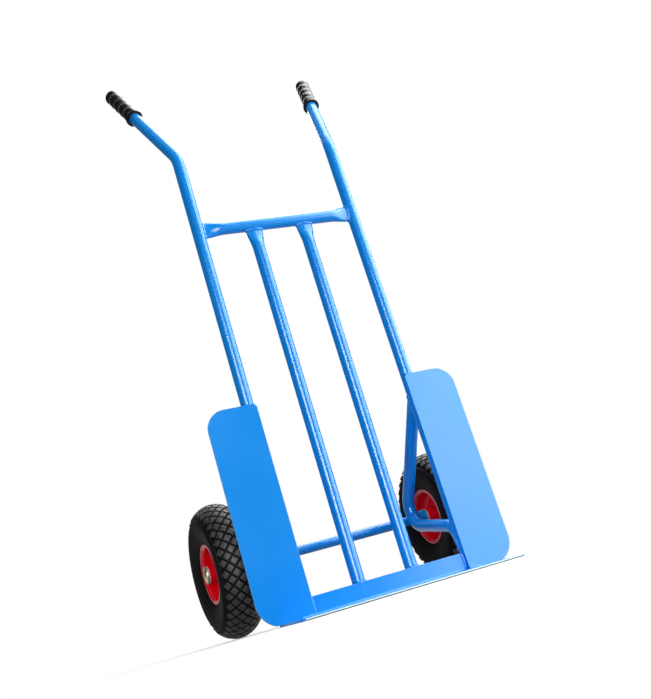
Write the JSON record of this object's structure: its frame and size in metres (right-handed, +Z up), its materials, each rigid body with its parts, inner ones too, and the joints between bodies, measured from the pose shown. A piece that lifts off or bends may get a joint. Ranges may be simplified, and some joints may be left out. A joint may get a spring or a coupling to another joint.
{
  "type": "hand truck",
  "caption": "Upright two-wheeled hand truck with a bent tube frame, toe plate, flat wheel-guard wings, splayed handles with grips and air-filled wheels on a fixed axle.",
  "frame": {"origin": "on the floor, below the middle of the overall box, between the toe plate's front edge and the tyres' backs", "axes": "+Z up along the frame, -Y to the front where the toe plate points, +X to the right seen from the front"},
  "size_m": [0.5664, 0.448, 1.1962],
  "materials": {
    "frame_paint": "gloss powder coat",
    "wheel_paint": "gloss enamel",
    "tyre": "matt moulded rubber",
    "butyl": "matt",
    "valve": "satin",
    "nylon": "matt",
    "zinc": "zinc plated",
    "yellow_zinc": "yellow zinc plated",
    "grip": "moulded, satin"
  },
  "bodies": {
    "frame": {"top_crossbar": "frame_paint", "toe_plate": "frame_paint", "axle_rod": "frame_paint", "left_side_rail": "frame_paint", "left_inner_bar": "frame_paint", "left_wing": "frame_paint", "left_wheel_bracket": "frame_paint", "left_axle_boss": "frame_paint", "left_inner_washer": "zinc", "left_outer_washer": "zinc", "left_axle_cap": "yellow_zinc", "left_grip": "grip", "right_side_rail": "frame_paint", "right_inner_bar": "frame_paint", "right_wing": "frame_paint", "right_wheel_bracket": "frame_paint", "right_axle_boss": "frame_paint", "right_inner_washer": "zinc", "right_outer_washer": "zinc", "right_axle_cap": "yellow_zinc", "right_grip": "grip"},
    "left_wheel": {"left_tyre": "tyre", "left_inner_tube": "butyl", "left_valve_stem": "valve", "left_rim_outer": "wheel_paint", "left_rim_inner": "wheel_paint", "left_hub_sleeve": "wheel_paint", "left_hub_bushes": "nylon"},
    "right_wheel": {"right_tyre": "tyre", "right_inner_tube": "butyl", "right_valve_stem": "valve", "right_rim_outer": "wheel_paint", "right_rim_inner": "wheel_paint", "right_hub_sleeve": "wheel_paint", "right_hub_bushes": "nylon"}
  },
  "joints": [
    {"name": "left_wheel_spin", "type": "hinge", "parent": "frame", "child": "left_wheel", "pos_m": [-0.2425, 0.094, 0.13], "axis": [1, 0, 0], "continuous": true},
    {"name": "right_wheel_spin", "type": "hinge", "parent": "frame", "child": "right_wheel", "pos_m": [0.2425, 0.094, 0.13], "axis": [1, 0, 0], "continuous": true}
  ]
}
